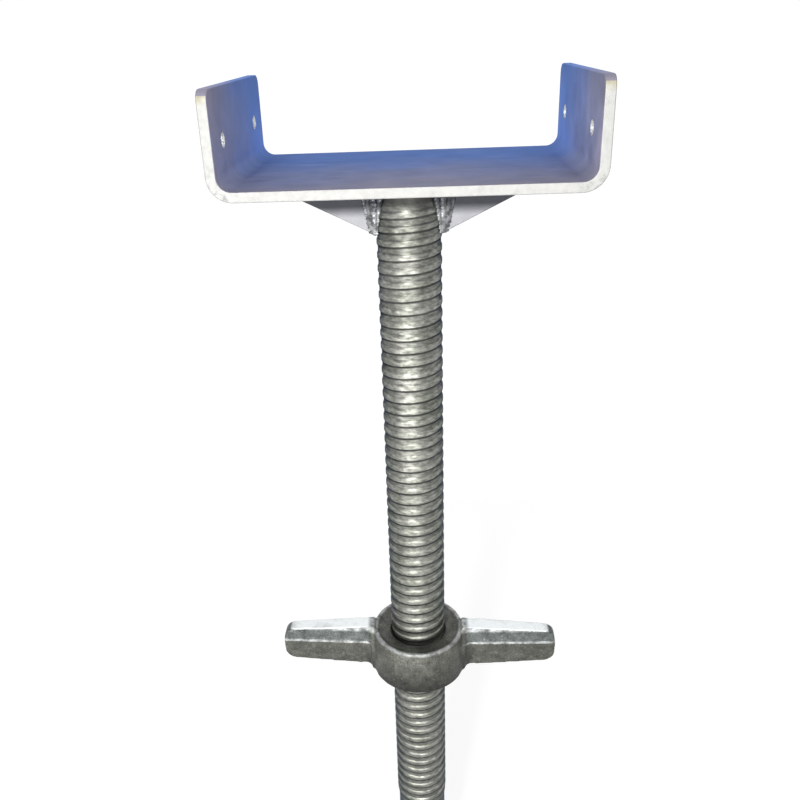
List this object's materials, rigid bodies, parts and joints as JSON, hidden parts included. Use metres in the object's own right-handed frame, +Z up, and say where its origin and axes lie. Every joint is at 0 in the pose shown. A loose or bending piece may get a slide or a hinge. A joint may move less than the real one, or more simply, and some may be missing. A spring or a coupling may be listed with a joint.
{
  "type": "u-head jack",
  "caption": "Adjustable U-head jack: folded steel saddle with gussets on a threaded rod, its height set by a cast wing nut that bears on a scaffold tube.",
  "frame": {"origin": "centre of the rod's lower end", "axes": "+Z up along the rod, +X across the saddle from leg to leg, +Y along the beam that the saddle holds, away from the picture's viewer"},
  "size_m": [0.1952, 0.132, 0.653],
  "materials": {
    "saddle_zinc": "zinc-coated rolled plate",
    "rod_zinc": "zinc-coated rolled thread",
    "weld_zinc": "zinc-coated weld bead",
    "cast_zinc": "zinc-coated rough casting"
  },
  "bodies": {
    "jack": {"saddle_plate": "saddle_zinc", "threaded_rod": "rod_zinc", "gusset_left": "saddle_zinc", "gusset_right": "saddle_zinc", "weld_runs": "weld_zinc"},
    "nut": {"wing_nut": "cast_zinc"}
  },
  "joints": [
    {"name": "nut_travel", "type": "slide", "parent": "jack", "child": "nut", "axis": [0, 0, 1], "range_m": [-0.128, 0.28]}
  ]
}
